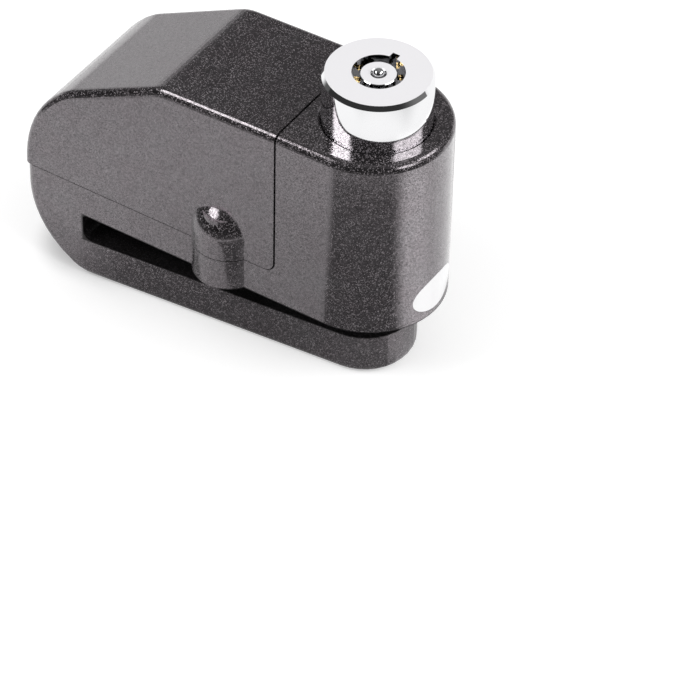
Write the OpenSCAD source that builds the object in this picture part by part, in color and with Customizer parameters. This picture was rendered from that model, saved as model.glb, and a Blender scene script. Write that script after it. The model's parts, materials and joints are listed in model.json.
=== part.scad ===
// Alarm disc lock for a motorcycle's brake disc, in millimetres.
// The origin is on the locking pin's axis, on the underside of the jaw.
// +X points to the rounded front that holds the lock cylinder, and +Z points up.

/* [Body] */
// Thickness of the jaw below the disc slot
jaw_t = 9; // [7:0.5:12]
// Height of the slot that takes the brake disc
slot_h = 6; // [5:0.25:8]
// How far the slot reaches behind the locking pin's axis
slot_depth = 54.5; // [50:0.5:70]
// Metal behind the slot
rear_wall = 13; // [11:0.5:18]
// Height of the housing from the slot's roof to the flat top
housing_h = 38.6; // [38.2:0.1:50]
// Thickness of the floor over the slot
floor_t = 6.7; // [6:0.1:7]
// Metal between the plunger's bore and the housing's flat sides
side_wall = 4.6; // [3.8:0.1:6]
// How far the front arc's centre lies behind the pin's axis
nose_back = 0.9; // [0:0.1:1]
// Rounding of the housing's upper edges
edge_r = 1.5; // [1:0.1:2]
// Rounding of the body's upright rear corners
corner_r = 2.2; // [1.5:0.1:3]
// Radius of the rear underside curve
rear_curve_r = 17; // [8:0.1:18]
// Radius of the jaw's rounded tip
jaw_tip_r = 9.8; // [8:0.1:11]
// How far the jaw tip's centre lies behind the pin's axis
jaw_tip_back = 1.4; // [0:0.1:2]
// Rounding of the jaw's lower edges
jaw_edge_r = 2; // [1:0.1:3]
// Radius of the slot's upper rear corner
slot_upper_r = 1; // [0.5:0.1:2]
// Radius of the slot's lower rear corner
slot_lower_r = 2; // [0.5:0.1:3]

/* [Alarm cover] */
// Wall of the cover
cover_wall = 2.3; // [1.8:0.1:2.6]
// Gap of the seam between the cover and the tower
seam_gap = 0.4; // [0.2:0.1:0.8]
// Gap of the seam between the cover's rim and the floor
rim_gap = 0.15; // [0.1:0.05:0.4]
// Metal of the tower between the plunger's bore and the seam
seam_wall = 1.73; // [1.5:0.01:3]
// Length of the cover's top from the seam to the ridge
cover_flat_l = 24.8; // [24:0.2:32]
// How far the cover's top falls from the seam to the ridge
cover_fall = 0.65; // [0:0.05:0.8]
// Slope of the cover's rear top, in degrees
cover_slope = 26.4; // [22:0.2:28]
// How far the cover's rear leans in towards the slope
rear_lean = 10.2; // [7:0.2:11]
// Height above the floor where the cover's rear starts to lean in
rear_bulge = 13.2; // [8:0.2:14]
// How far the cover's rear stands proud of the body's rear
rear_proud = 0.2; // [0:0.05:0.5]
// Radius of the cover's lower front corner
cover_corner_r = 2; // [1:0.1:3]
// Thickness of the flat gasket under the cover's rim
gasket_t = 0.5; // [0.3:0.1:0.8]
// Depth of the tower's spigot inside the cover
spigot_l = 2.4; // [1.5:0.1:3]

/* [Cover screws] */
// Radius of the round bosses on the sides
boss_r = 6.9; // [6:0.1:7.2]
// How far the bosses stand out of the sides
boss_out = 3.15; // [2.8:0.05:4.5]
// How far the bosses lie behind the pin's axis
boss_back = 24.1; // [20:0.1:30]
// Height of the bosses' straight part above the slot's roof
boss_h = 10.3; // [9:0.1:14]
// Diameter of the cover screws
screw_d = 3; // [2.5:0.5:4]
// Length of a cover screw under its head
screw_l = 10; // [8:1:12]
// Diameter of a cover screw's head
screw_head_d = 5.5; // [4.5:0.5:7]
// Height of a cover screw's head
screw_head_h = 3; // [2.5:0.5:4]

/* [Front oval] */
// Width of the oval inlay
oval_w = 12.4; // [8:0.2:16]
// Height of the oval inlay
oval_h = 7.7; // [5:0.1:9]
// Height of the oval's centre above the slot's roof
oval_up = 4.9; // [4.6:0.1:12]
// Thickness of the oval inlay
oval_t = 0.75; // [0.5:0.05:1.2]

/* [Plunger] */
// Diameter of the plunger
plunger_d = 20; // [18:0.2:24]
// How far the plunger is pressed to lock
stroke = 9; // [8:0.5:9.5]
// Height of the raised plunger above the housing's top
cap_stand = 10.2; // [9.2:0.1:12]
// Width of the chamfer round the plunger's top
cap_chamfer_w = 0.5; // [0.2:0.1:1]
// Height of the chamfer round the plunger's top
cap_chamfer_h = 0.9; // [0.3:0.1:1.5]
// Diameter of the locking pin
pin_d = 6; // [5:0.5:7]
// Height of the raised pin's tip above the slot's roof
pin_tip_up = 0.5; // [0.2:0.1:1]
// Diameter of the keyway's mouth
mouth_d = 9.5; // [9:0.1:10.5]
// Depth of the keyway's mouth
mouth_depth = 5.5; // [4:0.1:7]
// Width of the key notch in the mouth's edge
notch_w = 1.5; // [1:0.1:2]
// How far the key notch reaches outside the mouth
notch_out = 1.15; // [0.8:0.05:1.5]
// Thickness of the base plate under the latch bolt
base_plate_t = 3.1; // [2.5:0.1:4]
// How far the arming ramp moves the switch rod
arm_throw = 0.6; // [0.4:0.05:0.8]

/* [Lock core] */
// Diameter of the spindle's flange
flange_d = 12.4; // [12:0.1:13]
// Thickness of the spindle's flange
flange_t = 4; // [3:0.1:5]
// Diameter of the keyway's centre post
post_d = 6.6; // [6:0.1:7]
// How far the centre post's top lies below the plunger's top
post_down = 0.35; // [0.2:0.05:1]
// Number of tumbler pins
tumbler_count = 7; // [6:1:8]
// Diameter of a tumbler pin
tumbler_d = 1.5; // [1.2:0.1:1.5]
// Length of the sleeve that holds the driver pins
sleeve_l = 9; // [8:0.5:10]
// Diameter of the spindle's shaft
shaft_d = 4.8; // [4:0.1:5]
// Diameter of the ball in the centre post
ball_d = 2.2; // [1.8:0.1:2.6]
// Radius of the crank that draws the latch bolt
crank_r = 1.5; // [1.2:0.1:1.8]
// Diameter of the crank's pin
crank_pin_d = 2; // [1.6:0.1:2.2]
// Thickness of the cam disc
cam_t = 1.6; // [1.2:0.1:2.4]
// Width of the latch bolt
bolt_w = 7; // [6.5:0.1:8]
// Height of the latch bolt
bolt_h = 3.9; // [3.6:0.1:5]
// Depth of the pocket that the latch bolt snaps into
latch_pocket = 1.9; // [1.5:0.1:2.2]

/* [Springs] */
// Wire of the return spring
spring_wire = 1; // [0.8:0.1:1]
// Mean diameter of the return spring
spring_d = 13.2; // [12.5:0.1:15]
// Turns of the return spring
spring_turns = 3.5; // [3:0.5:4]

/* [Alarm module] */
// Diameter of a button cell
cell_d = 11.6; // [9.5:0.1:11.6]
// Height of a button cell
cell_h = 5.4; // [3:0.1:5.4]
// Cells in each of the two stacks
cells_per_stack = 3; // [2:1:3]
// Thickness of the circuit board
board_t = 1; // [0.8:0.1:1.2]
// Diameter of the siren
siren_d = 16; // [14:0.2:17]
// Height of the siren, which carries the board clear of the floor
siren_h = 3.5; // [3.4:0.1:3.8]
// How far the siren lies behind the pin's axis
siren_back = 42; // [38:0.5:48]
// Diameter of a sound hole
sound_hole_d = 2; // [1.5:0.1:2.4]
// Depth of the arming switch from front to back
switch_l = 6; // [5:0.1:6.5]
// Diameter of the arming switch's rod
rod_d = 2.9; // [2.4:0.1:3.2]

/* [Hidden] */
$fn = 64;
// Running clearance on a radius
running = 0.1;
// Clearance of a fixed fit on a radius
fixed = 0.03;
// Clearance between flat faces that pass each other
pass = 0.1;
// Gap left between pieces that rest on each other
seat = 0.05;
// Loose clearance round screws, pins and boards
loose = 0.2;
// Clearance of the cover over the tower's spigot
slip = 0.25;
// Depth by which a cut passes the face that it opens
over = 1;
// Steps of the drawn curves
edge_steps = 6;
ridge_steps = 4;
blend_steps = 5;
rear_steps = 10;
tip_steps = 16;
jaw_steps = 5;
oval_steps = 48;
// Share of the leaning rear's curve that shows below the blend to the slope
rear_share = 0.9;

// Heights in the body
roof_z = jaw_t + slot_h;
floor_z = roof_z + floor_t;
top_z = roof_z + housing_h;

// Plan of the body
plunger_r = plunger_d / 2;
bore_r = plunger_r + running;
half_w = bore_r + side_wall;
rear_x = -slot_depth - rear_wall;
seam_x = -bore_r - seam_wall;
tower_x = seam_x + seam_gap / 2;
cover_x = seam_x - seam_gap / 2;
spigot_x = tower_x - spigot_l;
cover_rear_x = rear_x - rear_proud;
ridge_x = seam_x - cover_flat_l;
inner_w = half_w - cover_wall;
cover_z = floor_z + rim_gap;
gasket_inset = 0.7;
ridge_blend = 1.8;
rear_blend = 1;
// How far the cover's outline runs past the seam and the rim, so that its cuts open there
run_out = edge_r + cover_wall;

// Screw bosses
boss_x = -boss_back;
boss_y = half_w + boss_out - boss_r;
boss_skin = 1.7;
screw_y = half_w + boss_out - screw_head_d / 2 - boss_skin;
head_sink = 0.4;
screw_head_z = roof_z + head_sink;
screw_tip_z = screw_head_z + screw_head_h + screw_l;
pad_wall = 1.9;
pad_r = screw_d / 2 + pad_wall;
pad_cap = 1;
screw_end_room = 0.5;

// Heights in the raised plunger, from its top down
cap_z = top_z + cap_stand;
flange_z1 = cap_z - mouth_depth - pass;
flange_z0 = flange_z1 - flange_t;
sleeve_z1 = flange_z0 - pass;
sleeve_z0 = sleeve_z1 - sleeve_l;
cam_z1 = sleeve_z0 - pass;
cam_z0 = cam_z1 - cam_t;
cam_web = 0.4;
shaft_z = cam_z0 + cam_web + seat;
shell_z = cam_z0 - pass / 2;
bolt_z1 = shell_z - pass;
bolt_z0 = bolt_z1 - bolt_h;
bolt_floor_z = bolt_z0 - pass;
base_z = bolt_floor_z - base_plate_t;
pin_tip_z = roof_z + pin_tip_up;

// Plunger details
core_bore_r = flange_d / 2 + running;
ring_r = (mouth_d + post_d) / 4;
tumbler_hole_r = tumbler_d / 2 + running;
shaft_flat = 0.7;
base_screw_r = 1;
base_screw_bite = 4;
base_head_r = 1.6;
base_head_h = 1.5;
drive_w = 0.4;
drive_depth = 0.6;
sleeve_pin_r = 0.9;
sleeve_pin_bite = 1;
sleeve_web = 1;
driver_l = 3;
base_screw_y = (core_bore_r + plunger_r) / 2;
pin_lip = 1.5;
pin_flange_r = pin_d / 2 + pin_lip;
pin_flange_t = 2;
pin_chamfer = 0.8;
pin_entry = 0.3;
bore_chamfer = 0.4;

// Stop pin and arming rod, placed from the plunger's rim and base
stop_pin_r = 1.5;
stop_pin_inset = 3.6;
stop_pin_up = 2.8;
stop_slot_depth = 3.2;
stop_pin_y = plunger_r - stop_pin_inset;
stop_pin_z = base_z + stop_pin_up;
stop_floor_x = stop_slot_depth - plunger_r;
stop_play = 0.15;
rod_up = 2.2;
rod_z = base_z + rod_up;
ramp_start = 0.3;
ramp_depth = arm_throw + ramp_start;
ramp_angle = atan(arm_throw / stroke);
rod_gap = 0.12;
seal_r = 0.6;
seal_play = 0.15;
seal_down = 1.8;
seal_z = top_z - seal_down;
ramp_room = 5;

// Latch: the crank swings 90 degrees across the bolt's line
latch_throw = 2 * crank_r * sin(45);
bolt_nose_x = plunger_r - pass;
bolt_tail_x = -5.6;
bolt_slot_x = bolt_tail_x - latch_throw - 2 * loose;
latch_hole_r = 1.6;
latch_hole_l = 4.4;
latch_wire = 0.3;
latch_spring_d = 2;
latch_turns = 4;
pocket_play = 0.3;
crank_pin_share = 0.55;
crank_pin_l = crank_pin_share * bolt_h;
tumbler_wire = 0.25;
tumbler_turns = 3;
small_per_turn = 8;
ball_seat = 1.2;
ball_play = 0.15;
ball_hole_r = ball_d / 2 + ball_play;
dimple = 0.2;
post_chamfer = 0.12;

// Alarm module, with the board's distances from the tower, the cover's rear and its sides
board_front_gap = 0.6;
board_rear_gap = 2.2;
board_side_gap = 2.5;
board_z0 = floor_z + siren_h;
board_z1 = board_z0 + board_t;
board_front_x = spigot_x - board_front_gap;
board_rear_x = cover_rear_x + cover_wall + board_rear_gap;
board_w = inner_w - board_side_gap;
// Places of the posts from the board's front, rear and side edges
post_front_in = 4.5;
post_rear_in = 4;
post_side_in = 2.2;
post_x = [board_front_x - post_front_in, board_rear_x + post_rear_in];
post_y = board_w - post_side_in;
module_screw_r = 1;
module_screw_bite = 3.7;
module_head_r = 1.9;
module_head_h = 1.2;
post_wall = 1.1;
tray_t = 1.2;
siren_x = -siren_back;
siren_r = siren_d / 2;
siren_wall = 0.9;
siren_lip = 1;
siren_roof = 0.8;
siren_ledge = 1.6;
siren_room = 0.3;
disc_t = 0.35;
ceramic_t = 0.25;
ceramic_share = 0.65;
mesh_margin = 1.6;
mesh_r = siren_r - mesh_margin;
mesh_t = 0.3;
mesh_recess = 0.5;
sound_pitch = siren_r / 2;
switch_gap = 0.8;
switch_x1 = spigot_x - switch_gap;
switch_x0 = switch_x1 - switch_l;
switch_w = 5.8;
switch_over = 2.6;
switch_top_z = rod_z + switch_over;
switch_face_gap = 0.4;
switch_face_x = switch_x1 - switch_face_gap;
button_l = 1.3;
button_w = 2.2;
button_h = 1.8;
button_out = 0.6;
button_x = switch_face_x + button_out;
cell_r = cell_d / 2;
holder_wall = 0.8;
cell_gap = 0.15;
cell_web = 0.4;
holder_gap = 0.6;
cell_pitch = cell_d + 2 * cell_gap + cell_web;
holder_x1 = switch_x0 - holder_gap;
holder_w = cell_r + cell_gap + holder_wall;
cell_x = [holder_x1 - holder_w, holder_x1 - holder_w - cell_pitch];
holder_x0 = cell_x[1] - holder_w;
contact_t = 0.3;
contact_share = 0.8;
holder_floor = 0.6;
cell_z = board_z1 + holder_floor + contact_t;
cell_step = cell_h + seat;
stack_h = cells_per_stack * cell_step;
link_z = cell_z + stack_h;
lid_z = link_z + contact_t;
lid_t = 0.8;
lid_lip = 0.3;
link_w = 6;

// Parts on the circuit board
coil_back = 5;
coil_r = 3.2;
coil_core_r = 2.2;
coil_h = 5;
coil_flange_t = 1.2;
sensor_rear_in = 11;
sensor_y = -4.5;
sensor_r = 2.4;
sensor_h = 5.6;
sensor_base_r = 3;
sensor_base_t = 0.8;
chip_size = [6, 4.8, 1.6];
chip_y = 4.4;
// Sensor and chip stand in one row, which gives way to the battery holder
row_gap = 0.2;
sensor_x = min(board_rear_x + sensor_rear_in,
    holder_x0 - row_gap - max(sensor_base_r, chip_size[0] / 2));

// Points of an arc from angle a0 to angle a1
function arc(centre, r, a0, a1, steps) =
    [for (i = [0:steps]) let (a = a0 + (a1 - a0) * i / steps) centre + r * [cos(a), sin(a)]];

// Points of a quadratic curve from p0 to p2 that leans towards p1, up to the share t1
function curve(p0, p1, p2, steps, t1 = 1) =
    [for (i = [0:steps]) let (t = t1 * i / steps)
        (1 - t) * (1 - t) * p0 + 2 * t * (1 - t) * p1 + t * t * p2];

function reversed(list) = [for (i = [len(list) - 1:-1:0]) list[i]];

function left_normal(a, b) = [a[1] - b[1], b[0] - a[0]] / norm(b - a);

// A convex outline, drawn counter-clockwise, moved inwards by d
function inset(outline, d) =
    let (n = len(outline))
    [for (i = [0:n - 1])
        let (n1 = left_normal(outline[(i + n - 1) % n], outline[i]),
             n2 = left_normal(outline[i], outline[(i + 1) % n]))
        outline[i] + d * (n1 + n2) / (1 + n1 * n2)];

// A skin over rings of equal count, each counter-clockwise seen along the stack
module loft(rings) {
    n = len(rings[0]);
    last = len(rings) - 1;
    points = [for (ring = rings) for (p = ring) p];
    first_cap = [for (i = [n - 1:-1:0]) i];
    last_cap = [for (i = [0:n - 1]) last * n + i];
    sides = [for (k = [0:last - 1]) for (i = [0:n - 1]) for (half = [0, 1])
        let (j = (i + 1) % n, low = k * n, high = low + n)
        half == 0 ? [low + i, low + j, high + j] : [low + i, high + j, high + i]];
    polyhedron(points = points, faces = concat([first_cap], sides, [last_cap]));
}

// Centre line of a helix along +Z
function helix(r, length, turns, per_turn) =
    let (steps = ceil(turns * per_turn))
    [for (i = [0:steps]) let (a = 360 * turns * i / steps)
        [r * cos(a), r * sin(a), length * i / steps]];

// Least distance between points of a line that are half a turn or more apart, less the wire
function self_gap(line, per_turn, wire) =
    min([for (i = [0:len(line) - 1]) for (j = [i + per_turn / 2:len(line) - 1])
        norm(line[i] - line[j])]) - wire;

// A wire spring along +Z whose outside length is given
module coil(mean_d, wire, length, turns, per_turn = 12, sides = 6) {
    r = mean_d / 2;
    line = helix(r, length - wire, turns, per_turn);
    tilt = atan((length - wire) / (turns * 2 * PI * r));
    rings = [for (p = line) let (
            out = [p[0], p[1], 0] / r,
            up = [out[1] * sin(tilt), -out[0] * sin(tilt), cos(tilt)])
        [for (s = [0:sides - 1]) let (a = 360 * s / sides)
            p + wire / 2 * (cos(a) * out + sin(a) * up)]];
    echo("least gap of a spring to itself", self_gap(line, per_turn, wire));
    translate([0, 0, wire / 2])
        loft(rings);
}

// An outline in X and Z, drawn as a slab across Y
module across_y(y0, y1) {
    translate([0, y1, 0])
        rotate([90, 0, 0])
            linear_extrude(y1 - y0)
                children();
}

// An outline in Y and Z, drawn as a bar along X
module along_x(x0, x1) {
    translate([x0, 0, 0])
        rotate([90, 0, 90])
            linear_extrude(x1 - x0)
                children();
}

// A round bar along +X
module rod_x(x0, x1, r) {
    translate([x0, 0, 0])
        rotate([0, 90, 0])
            cylinder(h = x1 - x0, r = r);
}

module box(low, high) {
    translate(low)
        cube(high - low);
}

module on_both_sides(y) {
    for (side = [-1, 1])
        translate([0, side * y, 0])
            children();
}

// Tumbler positions round the lock's axis
module at_tumblers() {
    for (i = [0:tumbler_count - 1])
        rotate([0, 0, 360 * i / tumbler_count])
            translate([ring_r, 0, 0])
                children();
}

// Side view of the cover: a top that falls a little, a sloping rear top and a leaning rear
slope_dir = [-cos(cover_slope), -sin(cover_slope)];
seam_top = [seam_x, top_z];
ridge = [ridge_x, top_z - cover_fall];
top_dir = (ridge - seam_top) / norm(ridge - seam_top);
top_start = seam_top - run_out * top_dir;
rear_top_x = cover_rear_x + rear_lean;
rear_top = ridge + (ridge_x - rear_top_x) * [-1, -tan(cover_slope)];
rear_low = [cover_rear_x, floor_z];
rear_mid = [cover_rear_x, floor_z + rear_bulge];
rear_curve = curve(rear_low, rear_mid, rear_top, rear_steps, rear_share);
cover_outline = concat(
    [[top_start[0], floor_z - run_out], top_start],
    curve(ridge - ridge_blend * top_dir, ridge, ridge + ridge_blend * slope_dir, ridge_steps),
    curve(rear_top - rear_blend * slope_dir, rear_top, rear_curve[rear_steps], blend_steps),
    [for (i = [rear_steps - 1:-1:0]) rear_curve[i]],
    [[cover_rear_x, floor_z - run_out]]);

// The cover's outside, with its long edges rounded
module cover_slab() {
    turn = [for (i = [0:edge_steps]) 90 - 90 * i / edge_steps];
    side = [for (a = turn) [half_w - edge_r + edge_r * sin(a), edge_r * (1 - cos(a))]];
    levels = concat([for (level = side) [-level[0], level[1]]], reversed(side));
    loft([for (level = levels) [for (p = inset(cover_outline, level[1])) [p[0], level[0], p[1]]]]);
}

// Side view of the room that the cover closes, with its rounded lower front corner
module cover_window() {
    r = cover_corner_r;
    polygon(concat(arc([cover_x - r, cover_z + r], r, -90, 0, edge_steps),
        [[cover_x, top_z + over], [cover_rear_x - over, top_z + over], [cover_rear_x - over, cover_z]]));
}

// A round boss with a domed top
module boss(z0, z1) {
    translate([0, 0, z0])
        cylinder(h = z1 - z0, r = boss_r);
    translate([0, 0, z1])
        sphere(r = boss_r);
}

// Place of the body's rear at height z
function body_rear(z) =
    let (low = max(rear_curve_r - z, 0))
    rear_x + rear_curve_r - sqrt(rear_curve_r * rear_curve_r - low * low);

// Half width of the jaw at x: full behind the slot, then along the line that meets the tip
function taper_w(x, w, tip_r, lean) =
    x <= -slot_depth ? w : (tip_r - (x + jaw_tip_back) * cos(lean)) / sin(lean);

// Plan of the body at height z: the jaw tapers to a round tip, the floor runs to the tower
function plan_ring(z, tapered) =
    let (low = max(jaw_edge_r - z, 0),
         d = jaw_edge_r - sqrt(jaw_edge_r * jaw_edge_r - low * low),
         w = half_w - d,
         x = body_rear(z),
         tip_r = jaw_tip_r - d,
         run = slot_depth - jaw_tip_back,
         lean = atan2(w, -run) - acos(tip_r / norm([run, w])),
         turn_x = x + corner_r,
         side_x = max(-slot_depth, turn_x + corner_r / 2),
         turn_w = taper_w(turn_x, w, tip_r, lean),
         side_w = taper_w(side_x, w, tip_r, lean),
         front = tapered
            ? arc([-jaw_tip_back, 0], tip_r, lean, -lean, tip_steps)
            : [for (i = [0:tip_steps]) [tower_x + over, w * (1 - 2 * i / tip_steps)]])
    [for (p = concat(
        arc([turn_x, turn_w - corner_r], corner_r, 180, 90, edge_steps),
        [[side_x, side_w]],
        front,
        [[side_x, -side_w]],
        arc([turn_x, corner_r - turn_w], corner_r, 270, 180, edge_steps))) [p[0], p[1], z]];

// Jaw, rear column and floor in one, before the slot is cut
module body_block() {
    jaw_end_z = jaw_t + slot_h / 3;
    floor_start_z = roof_z - slot_h / 3;
    bottom = [for (i = [0:edge_steps]) jaw_edge_r * (1 - cos(90 * i / edge_steps))];
    middle = [for (i = [1:jaw_steps]) jaw_edge_r + (jaw_end_z - jaw_edge_r) * i / jaw_steps];
    upper = [for (i = [0:jaw_steps]) floor_start_z + (floor_z - floor_start_z) * i / jaw_steps];
    loft(concat([for (z = concat(bottom, middle)) plan_ring(z, true)],
        [for (z = upper) plan_ring(z, false)]));
}

// Rounded front tower: half a revolve that carries on as a straight bar
module tower() {
    low = jaw_t + slot_h / 2;
    edge = arc([half_w - edge_r, top_z - edge_r], edge_r, 0, 90, edge_steps);
    half = concat([[0, low], [half_w, low]], edge, [[0, top_z]]);
    mirrored = [for (p = reversed(edge)) [-p[0], p[1]]];
    translate([-nose_back, 0, 0])
        rotate([0, 0, -90])
            rotate_extrude(angle = 180)
                polygon(half);
    along_x(tower_x, -nose_back)
        polygon(concat([[-half_w, low], [half_w, low]], edge, mirrored));
}

// Spigot of the tower that the cover slips over
module spigot() {
    w = inner_w - slip;
    box([spigot_x, -w, floor_z - over], [tower_x + over, w, top_z - cover_wall - slip]);
}

// Fillets at the sides that the cover's lower front corners sit in
module seam_fillets() {
    r = cover_corner_r + seam_gap;
    for (y0 = [-half_w, inner_w])
        across_y(y0, y0 + cover_wall)
            polygon(concat([[tower_x + over, floor_z - over], [tower_x + over, floor_z + r]],
                arc([tower_x - r, floor_z + r], r, 0, -90, edge_steps), [[tower_x - r, floor_z - over]]));
}

module slot_cut() {
    x0 = -slot_depth;
    x1 = half_w + over;
    across_y(-half_w - boss_out - over, half_w + boss_out + over)
        polygon(concat([[x1, jaw_t], [x1, roof_z]],
            arc([x0 + slot_upper_r, roof_z - slot_upper_r], slot_upper_r, 90, 180, edge_steps),
            arc([x0 + slot_lower_r, jaw_t + slot_lower_r], slot_lower_r, 180, 270, edge_steps)));
}

module oval_prism(shrink) {
    along_x(0, half_w + over)
        polygon([for (i = [0:oval_steps - 1]) let (a = 360 * i / oval_steps)
            [(oval_w / 2 - shrink) * cos(a), roof_z + oval_up + (oval_h / 2 - shrink) * sin(a)]]);
}

// Ring of the front wall between two depths under the surface
module nose_ring(deep, shallow) {
    z0 = roof_z + oval_up - oval_h;
    translate([-nose_back, 0, z0])
        difference() {
            cylinder(h = 2 * oval_h, r = half_w - shallow);
            translate([0, 0, -over])
                cylinder(h = 2 * oval_h + 2 * over, r = half_w - deep);
        }
}

// Plan of the cover's rim, moved in
module rim_plan(inset_by) {
    w = half_w - inset_by;
    x0 = rear_x + inset_by;
    x1 = spigot_x - inset_by;
    r = corner_r;
    polygon(concat(arc([x0 + r, r - w], r, 180, 270, edge_steps),
        [[x1, -w], [x1, w]], arc([x0 + r, w - r], r, 90, 180, edge_steps)));
    for (side = [-1, 1])
        translate([boss_x, side * boss_y])
            circle(r = boss_r - inset_by);
}

// Plan of the flat gasket: the rim less the room inside, with a pad round each screw
module gasket_plan(play) {
    room_x = cover_rear_x + cover_wall - play;
    room_w = inner_w + play;
    difference() {
        rim_plan(gasket_inset + play);
        difference() {
            translate([room_x, -room_w])
                square([spigot_x - room_x, 2 * room_w]);
            for (side = [-1, 1])
                translate([boss_x, side * screw_y])
                    circle(r = pad_r - play);
        }
    }
}

module lock_body() {
    color("#55525a")
        difference() {
            union() {
                body_block();
                tower();
                spigot();
                seam_fillets();
                on_both_sides(boss_y)
                    translate([boss_x, 0, jaw_t + slot_h / 2])
                        cylinder(h = floor_z - jaw_t - slot_h / 2, r = boss_r);
            }
            slot_cut();
            // Bore of the plunger, with its mouth chamfer and seal groove
            translate([0, 0, floor_z])
                cylinder(h = top_z - floor_z + over, r = bore_r);
            translate([0, 0, top_z - bore_chamfer])
                cylinder(h = bore_chamfer + over, r1 = bore_r, r2 = bore_r + bore_chamfer + over);
            translate([0, 0, seal_z - seal_r - seal_play])
                cylinder(h = 2 * (seal_r + seal_play), r = bore_r + 2 * seal_r + seal_play + seat);
            // Holes of the locking pin in the floor and in the jaw
            translate([0, 0, roof_z - over])
                cylinder(h = floor_t + 2 * over, r = pin_d / 2 + running);
            translate([0, 0, jaw_t / 2])
                cylinder(h = jaw_t / 2 + over, r = pin_d / 2 + pin_entry);
            // Pocket that the latch bolt snaps into when the plunger is down
            box([0, -bolt_w / 2 - pocket_play, bolt_z0 - stroke - pocket_play],
                [bore_r + latch_pocket, bolt_w / 2 + pocket_play, bolt_z1 - stroke + pocket_play]);
            // Holes of the stop pin and the arming rod in the tower's rear wall
            translate([0, stop_pin_y, stop_pin_z])
                rod_x(spigot_x - over, stop_floor_x + over, stop_pin_r + fixed);
            translate([0, 0, rod_z])
                rod_x(spigot_x - over, -bore_r + over, rod_d / 2 + running);
            // Pocket of the oval inlay
            intersection() {
                oval_prism(0);
                nose_ring(oval_t + seat, -over);
            }
            // Cover screws from below
            on_both_sides(screw_y)
                translate([boss_x, 0, 0]) {
                    translate([0, 0, roof_z - over])
                        cylinder(h = head_sink + screw_head_h + over, r = screw_head_d / 2 + loose);
                    translate([0, 0, roof_z])
                        cylinder(h = floor_t + over, r = screw_d / 2 + loose);
                }
            // Gasket recess, sound holes, mesh recess and module screw holes in the floor
            translate([0, 0, floor_z - gasket_t])
                linear_extrude(gasket_t + over)
                    gasket_plan(0);
            translate([siren_x, 0, roof_z - over]) {
                cylinder(h = floor_t + 2 * over, r = sound_hole_d / 2);
                for (i = [0:5])
                    rotate([0, 0, 60 * i])
                        translate([sound_pitch, 0, 0])
                            cylinder(h = floor_t + 2 * over, r = sound_hole_d / 2);
            }
            translate([siren_x, 0, floor_z - mesh_recess])
                cylinder(h = mesh_recess + over, r = mesh_r + pass);
            at_posts()
                translate([0, 0, floor_z - module_screw_bite - loose])
                    cylinder(h = module_screw_bite + loose + over, r = module_screw_r + fixed);
        }
}

module alarm_cover() {
    color("#5a575e")
        difference() {
            union() {
                difference() {
                    intersection() {
                        union() {
                            cover_slab();
                            on_both_sides(boss_y)
                                translate([boss_x, 0, 0])
                                    boss(floor_z - over, roof_z + boss_h);
                        }
                        across_y(-half_w - boss_out - over, half_w + boss_out + over)
                            cover_window();
                    }
                    across_y(-inner_w, inner_w)
                        polygon(inset(cover_outline, cover_wall));
                }
                on_both_sides(screw_y)
                    translate([boss_x, 0, cover_z])
                        cylinder(h = screw_tip_z + screw_end_room + pad_cap - cover_z, r = pad_r);
            }
            on_both_sides(screw_y)
                translate([boss_x, 0, floor_z])
                    cylinder(h = screw_tip_z + screw_end_room - floor_z, r = screw_d / 2 + fixed);
        }
}

module cover_gasket() {
    color("#202020")
        translate([0, 0, floor_z - gasket_t])
            linear_extrude(gasket_t + rim_gap / 2)
                difference() {
                    gasket_plan(pass);
                    for (side = [-1, 1])
                        translate([boss_x, side * screw_y])
                            circle(r = screw_d / 2 + loose);
                }
}

module cover_screws() {
    hex_r = screw_head_d / 4;
    color("#8a8a8e")
        on_both_sides(screw_y)
            translate([boss_x, 0, screw_head_z])
                difference() {
                    union() {
                        cylinder(h = screw_head_h, r = screw_head_d / 2);
                        cylinder(h = screw_head_h + screw_l, r = screw_d / 2);
                    }
                    translate([0, 0, -over])
                        cylinder(h = screw_head_h / 2 + over, r = hex_r, $fn = 6);
                }
}

module oval_inlay() {
    color("#f4f4f4")
        intersection() {
            oval_prism(seat);
            nose_ring(oval_t, 0);
        }
}

module plunger_seal() {
    color("#181818")
        translate([0, 0, seal_z])
            rotate_extrude()
                translate([bore_r + seal_r + seat, 0])
                    circle(r = seal_r, $fn = 32);
}

module stop_pin() {
    color("#b0b0b4")
        translate([0, stop_pin_y, stop_pin_z])
            rod_x(spigot_x, stop_floor_x - loose, stop_pin_r);
}

module return_spring() {
    color("#a8aab0")
        translate([0, 0, floor_z + seat])
            coil(spring_d, spring_wire, base_z - floor_z - 2 * seat, spring_turns);
}

// The cut that lets the stop pin and the arming rod meet the plunger's rear
module plunger_rear_cuts() {
    reach = stop_pin_r + stop_play;
    box([-plunger_r - over, stop_pin_y - reach, stop_pin_z - reach],
        [stop_floor_x, stop_pin_y + reach, stop_pin_z + stroke + reach]);
    translate([-plunger_r + ramp_depth, 0, rod_z])
        rotate([0, -ramp_angle, 0])
            box([-ramp_room, -plunger_r, -ramp_room], [0, plunger_r, stroke + ramp_room]);
}

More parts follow.
